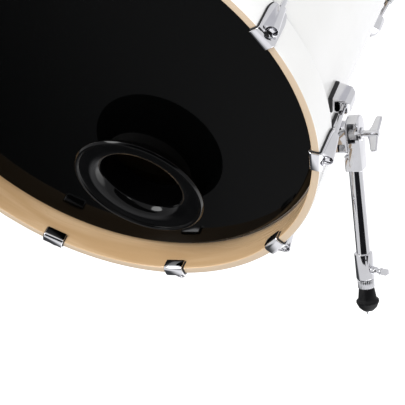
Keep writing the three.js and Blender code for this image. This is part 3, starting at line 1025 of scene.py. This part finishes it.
def holder_mesh():
    """The die-cast leg holder: rounded ear, nut recess, bolt slot and tube clamp."""
    ear = arc((0, EAR_CENTRE), EAR_RADIUS, 0, 180, 24)
    waist = rounded([
        (-EAR_RADIUS, EAR_CENTRE),
        (-14, -14, 6),
        (-13, HOLDER_BOTTOM, 1.5),
        (11.5, HOLDER_BOTTOM, 1.5),
        (15, -14, 6),
        (EAR_RADIUS, EAR_CENTRE),
    ], closed=False)
    body = along_bolt(ear + waist[1:-1], HOLDER_INNER, HOLDER_OUTER)
    clamp = carved(block((-10, -13, HOLDER_BOTTOM), (0, 10, -24)), bevel=1.6)
    recess = block((HOLDER_INNER - 1, -30, -8), (6.7, 8.5, 17))
    bolt_slot = block((0, -30, -3.9), (HOLDER_OUTER + 5, 0, 3.9))
    bolt_hole = moved(peg(BOLT_HOLE_RADIUS + 0.3, -6, 20, 32), ALONG_X)
    tube_hole = moved(peg(TUBE_RADIUS + 0.2, TUBE_TOP - 1, 60, ROUND_STEPS), DOWN)
    slit = block((-12, -20, -29), (-4.5, -3, -27.3))
    return carved(body, joined=[clamp], cut=[recess, bolt_slot, bolt_hole, tube_hole, slit], bevel=2.2)


def wing_bolt_parts():
    """The ribbed barrel nut in the holder's recess, and the bolt with its washer, hub and wings."""
    washer = HOLDER_OUTER + 0.3
    hub = washer + 2
    ribs = fluted(BARREL_NUT_RADIUS, 0.55, 22)
    nut = moved(prism(ribs, HOLDER_INNER + 0.5, BARREL_NUT_END), ALONG_X)
    bolt = turned([
        (0, -20),
        (BOLT_RADIUS, -20, 0.6),
        (BOLT_RADIUS, washer),
        (WASHER_RADIUS, washer, 0.6),
        (WASHER_RADIUS, hub, 0.6),
        (4.75, hub, 0.8),
        (4.75, hub + 20, 1.6),
        (0, hub + 20),
    ])
    wing = rounded([
        (hub + 4, 0),
        (hub + 19, 0),
        (hub + 21, WING_REACH, 2.5),
        (hub + 13, WING_REACH, 3),
        (hub + 9, 11, 8),
    ])
    half = WING_THICKNESS / 2
    wings = []
    for turn in (1, -1):
        blade = prism([(x, turn * y) for x, y in wing], -half, half)
        wings.append(carved(moved(blade, Matrix.Rotation(WING_TWIST, 4, "X")), bevel=1.2))
    return nut, carved(moved(bolt, ALONG_X), joined=wings)


def leg_tube_mesh():
    """The outer tube and its collar, with a short slit in the collar's top."""
    profile = [
        (TUBE_BORE, TUBE_TOP),
        (TUBE_RADIUS, TUBE_TOP),
        (TUBE_RADIUS, COLLAR_TOP, 0.4),
        (COLLAR_RADIUS, COLLAR_TOP, 1.2),
        (COLLAR_RADIUS, COLLAR_END, 1.6),
        (TUBE_BORE, COLLAR_END, 0.3),
    ]
    tube = moved(turned(profile, 72, closed=True), DOWN)
    slit = block((-0.7, -20, -COLLAR_TOP - 8), (0.7, -TUBE_RADIUS - 0.1, -COLLAR_TOP + 5))
    return carved(tube, cut=[moved(slit, Matrix.Rotation(COLLAR_SLIT_TURN, 4, "Z"))])


def height_bolt_frame(side):
    """z runs outwards along the height bolt, from the leg's axis."""
    joint = joints["right_height_bolt_turn"]
    to_spur = spur_frame("right").inverted()
    outwards = to_spur.to_3x3() @ Vector(joint["axis"])
    along_leg = (to_spur @ Vector(joint["pos_m"])).z
    turn = Matrix.Rotation(math.atan2(outwards.y, outwards.x), 4, "Z")
    return spur_frame(side) @ Matrix.Translation((0, 0, along_leg)) @ turn @ ALONG_X


def height_bolt_shape():
    """A round head against the collar, a waist, a second flange and a square key head."""
    seat = COLLAR_RADIUS + 0.1
    body = turned([
        (0, seat),
        (5, seat, 0.5),
        (5, seat + 6, 1),
        (3, seat + 9, 0.8),
        (3, seat + 11, 0.4),
        (4.6, seat + 13, 0.5),
        (4.6, seat + 15, 0.6),
        (0, seat + 15),
    ], 36)
    return together(body, key_head([(1, seat + 14), (1, seat + 22.8), (0.72, seat + 24)]))


def spike_shape():
    """The inner rod, which steps down to the spike inside the rubber foot."""
    return turned([
        (0, INNER_ROD_TOP),
        (INNER_ROD_RADIUS, INNER_ROD_TOP, 1),
        (INNER_ROD_RADIUS, INNER_ROD_END - 1, 0.5),
        (SPIKE_RADIUS, INNER_ROD_END),
        (SPIKE_RADIUS, FOOT_END - 0.5, 1),
        (SPIKE_TIP, SPIKE_END, 0.3),
        (0, SPIKE_END),
    ])


def lock_ring_mesh():
    ring = prism(fluted(LOCK_RING_RADIUS, 0.7, 30), LOCK_RING_TOP, FOOT_TOP)
    return carved(ring, cut=[peg(FOOT_BORE, LOCK_RING_TOP - 12, FOOT_TOP + 17, 32)], bevel_after=0.5)


def rubber_foot_shape():
    return turned([
        (FOOT_BORE, FOOT_TOP + 0.1),
        (9.8, FOOT_TOP + 0.1, 1),
        (12, FLANGE_AT - 3.4, 1.5),
        (FLANGE_RADIUS, FLANGE_AT - 1, 0.8),
        (FLANGE_RADIUS, FLANGE_AT + 1.6, 1.2),
        (11.4, FOOT_END - 5, 3),
        (7.2, FOOT_END - 0.9, 2),
        (SPIKE_RADIUS + 0.3, FOOT_END, 0.4),
        (SPIKE_RADIUS + 0.3, FOOT_END - 6.6),
        (FOOT_BORE, FOOT_END - 7.6),
    ], 64, closed=True)


def make_spur(side):
    leg, rod, foot = f"{side}_leg", f"{side}_inner_rod", f"{side}_foot"
    wing_body, key_body = f"{side}_wing_bolt_body", f"{side}_height_bolt_body"
    local = spur_frame(side)
    pad = pad_frame(side)
    down_leg = local @ DOWN
    gasket = curved_pad(PAD_HALF_ARC, PAD_HALF_DEPTH, SHELL_OUTER + 0.05, PAD_GASKET_TOP, 6, 0.5)
    flange = curved_pad(PAD_HALF_ARC - 1.4, PAD_HALF_DEPTH - 1.4, PAD_GASKET_TOP + 0.05, PAD_TOP, 5, 1)
    nut, bolt = wing_bolt_parts()

    def add(name, source, at, body, material, slot, node="", **settings):
        nodes = [f"{side}_{node}"] if node else ()
        place(f"{side}_{name}", source, at, body, material, slot, nodes, **settings)

    add("bracket_gasket", gasket, pad, "drum", LIT_RUBBER, "black_rubber")
    add("bracket_flange", flange, pad, "drum", CHROME, "chrome", sharp=50)
    add("bracket_arm", bracket_arm_mesh(), local, "drum", CHROME, "chrome", "spur_bracket", sharp=50)
    add("joint_washer", joint_washer_mesh(), local, "drum", ALUMINIUM, "steel")
    add("holder_casting", holder_mesh(), local, leg, CHROME, "chrome", "leg_holder", sharp=50)
    add("wing_screw", bolt, local, wing_body, CHROME, "chrome", "wing_bolt", sharp=50)
    add("barrel_nut", nut, local, wing_body, ALUMINIUM, "steel", bevel=0.3)
    add("outer_tube", leg_tube_mesh(), local, leg, CHROME, "chrome", "leg_tube", sharp=45)
    key_at = height_bolt_frame(side)
    add("key_bolt", height_bolt_shape(), key_at, key_body, CHROME, "chrome", "height_bolt")
    add("spike_rod", spike_shape(), down_leg, rod, STEEL, "steel", "leg_rod")
    add("lock_ring", lock_ring_mesh(), down_leg, foot, CHROME, "chrome", sharp=50)
    rubber = rubber_foot_shape()
    add("rubber_tip", rubber, down_leg, foot, SHADED_RUBBER, "black_rubber", "rubber_foot", sharp=60)


# ---- inside and small trim ----


def screw_head_shape():
    """A washer and a domed head under the shell wall, at z = minus the shell's inner radius."""
    washer = turned([(0, 0), (6.5, 0, 0.3), (6.5, 1.3, 0.4), (0, 1.3)], SMALL_STEPS)
    head = turned([(0, 1.2), (4.6, 1.2), (4.6, 3.4, 1.4), (0, 4.1)], SMALL_STEPS)
    return moved(together(washer, head), Matrix.Translation((0, 0, -SHELL_INNER + 0.1)))


def make_inner_screws():
    for end in ENDS:
        shapes = []
        for station in range(LUGS):
            turn = Matrix.Rotation(-2 * math.pi / LUGS * (station + 0.5), 4, "Y")
            for depth in (LUG_FRONT + 8, LUG_BACK - 8):
                shapes.append(moved(screw_head_shape(), turn @ Matrix.Translation((0, depth, 0))))
        place(f"{end}_lug_screws", together(*shapes), drum_frame(end), "drum", STEEL, "steel")


def make_vent():
    """A plain grommet round the shell's air hole, at the top, halfway along, with a dark disc in its bore
    painted as the shade of the hole; the shell itself is not cut.
    """
    middle = (SHELL_START + SHELL_END) / 2
    grommet = turned([
        (5, -3),
        (5, 2.2, 0.8),
        (9, 1.4, 0.8),
        (9.4, -0.4),
        (6, -0.4),
        (6, -3),
    ], closed=True)
    hole = peg(4.98, -2.4, -1.2, ROUND_STEPS)
    local = drum_frame("front") @ Matrix.Translation((0, middle, SHELL_OUTER))
    place("vent_grommet", grommet, local, "drum", CHROME, "chrome")
    # A black disc in the grommet's bore: painted shade standing for the open hole.
    place("vent_painted_shade", hole, local, "drum", SHADED_RUBBER, "black_rubber")


# ---- camera, floor and light ----

VIEW_AZIMUTH = math.radians(26.4)
VIEW_ELEVATION = math.radians(48.52)
VIEW_ROLL = math.radians(-7.14)
VIEW_DISTANCE = 1.6337
VIEW_LENS = 117.84
FLOOR_REACH = 30
AIM = Vector((0.1435, FRONT, AXIS_HEIGHT - 0.1217))

UP = Vector((0, 0, 1))
ROOM_FRONT = Vector((0.335, -0.942, 0))  # where the dark end of the studio lies
ROOM_SIDE = Vector((0.942, 0.335, 0))
TABLE_PALE = Vector((1, 0, 0.9))  # the table that reflections see is paler this way
# What reflections see: direction, radius of the full tone and of its fade in degrees, tone.
PANELS = [
    ((-0.30, 0.60, 0.75), 14, 36, colour(0.62, 0.62, 0.66)),
    ((0.55, -0.35, -0.75), 15, 30, grey(3.3)),
    ((0.52, -0.47, 0.71), 8, 12, grey(14)),
    ((-0.70, -0.40, 0.60), 12, 16, grey(12)),
    ((-0.98, 0.07, 0.14), 7, 11, grey(6)),
]


def make_camera():
    back = Vector((
        math.sin(VIEW_AZIMUTH) * math.cos(VIEW_ELEVATION),
        -math.cos(VIEW_AZIMUTH) * math.cos(VIEW_ELEVATION),
        math.sin(VIEW_ELEVATION),
    ))
    camera = new_object("camera", bpy.data.cameras.new("camera"))
    camera.data.lens = VIEW_LENS
    level = (-back).to_track_quat("-Z", "Y").to_matrix().to_4x4()
    roll = Matrix.Rotation(VIEW_ROLL, 4, "Z")
    camera.matrix_world = Matrix.Translation(AIM + back * VIEW_DISTANCE) @ level @ roll
    bpy.context.scene.camera = camera


def floor_finish(graph):
    """Pale studio paper that glows a little, and more to the camera, so that it looks white."""
    fibre = graph.noise(place_of(graph), 160.0, 4.0)
    seen = graph.add("LightPath").outputs["Is Camera Ray"]
    return {
        "Base Color": graph.mottle(fibre, grey(0.81), grey(0.83)),
        "Roughness": 0.9,
        "Specular IOR Level": 0.1,
        "Emission Color": grey(1),
        "Emission Strength": graph.spread(seen, 0.0, 1.0, 0.25, 0.5),
    }


def make_floor():
    rows = [[(x * FLOOR_REACH, y * FLOOR_REACH, 0) for x in (-1, 1)] for y in (-1, 1)]
    mesh = mesh_of(loft(rows, capped=False))
    mesh.materials.append(new_material("studio_paper", floor_finish))
    floor = new_object("floor", mesh)
    floor.visible_glossy = False


def make_light(name, position, target, size, power):
    """A square softbox that reflections don't see."""
    data = bpy.data.lights.new(name, "AREA")
    data.size = size
    data.energy = power
    light = new_object(name, data)
    light.location = position
    light.visible_glossy = False
    light.rotation_mode = "QUATERNION"
    light.rotation_quaternion = (Vector(target) - Vector(position)).to_track_quat("-Z", "Y")


def make_world():
    """White for the camera and pale grey for diffuse light; reflections see a studio's panels."""
    world = bpy.data.worlds.new("studio")
    world.use_nodes = True
    bpy.context.scene.world = world
    graph = Graph(world.node_tree)
    towards = graph.add("TexCoord").outputs["Generated"]

    def along(direction):
        aim = graph.add("VectorMath", {0: towards, 1: direction}, operation="DOT_PRODUCT")
        return aim.outputs["Value"]

    def panel(direction, inner, outer):
        """1 inside a round patch of the sky about the direction, 0 outside, in degrees."""
        near, far = (math.cos(math.radians(angle)) for angle in (inner, outer))
        return graph.spread(along(Vector(direction).normalized()), far, near)

    height = along(UP)
    table = graph.spread(along(TABLE_PALE), -1.09, -0.84)
    studio = graph.mix(table, colour(0.06, 0.063, 0.067), colour(1.05, 1.05, 1.08))
    studio = graph.mix(graph.spread(height, -0.5, -0.3), studio, colour(0.82, 0.82, 0.84))
    for direction, inner, outer, tone in PANELS:
        studio = graph.mix(panel(direction, inner, outer), studio, tone)
    side = graph.math("ABSOLUTE", along(ROOM_SIDE))
    table_edge = graph.math("ADD", graph.math("MULTIPLY", side, -0.12), 0.25)
    above_table = graph.spread(graph.math("SUBTRACT", height, table_edge), -0.008, 0.008)
    in_front = graph.spread(along(ROOM_FRONT), 0.45, 0.55)
    dark_room = graph.math("MULTIPLY", above_table, in_front)
    studio = graph.mix(dark_room, studio, colour(0.012, 0.012, 0.014))
    ray = graph.add("LightPath")
    seen = graph.mix(ray.outputs["Is Glossy Ray"], grey(0.77), studio)
    seen = graph.mix(ray.outputs["Is Camera Ray"], seen, grey(1))
    background = graph.add("Background", {"Color": seen, "Strength": 1.0})
    graph.add("OutputWorld", {"Surface": background.outputs[0]})


# ---- the object and its stage ----

make_camera()
make_floor()
make_world()
make_light("key", (-1.2, -1.6, 2.6), (0, 0, 0.3), 1.6, 52)
make_light("fill", (1.3, -2.4, 1.9), (0.2, 0, 0.3), 0.8, 9)
make_light("side", (2.4, 0.9, 1.9), (0.3, 0, 0.3), 1.2, 15)

make_shell()
make_front_film()
make_rear_film()
for drum_end in ENDS:
    make_hoop(drum_end)
    make_flesh_ring(drum_end)
make_port()
make_fittings()
for spur_side in SIDES:
    make_spur(spur_side)
make_inner_screws()
make_vent()

bpy.context.scene.view_settings.view_transform = "Standard"
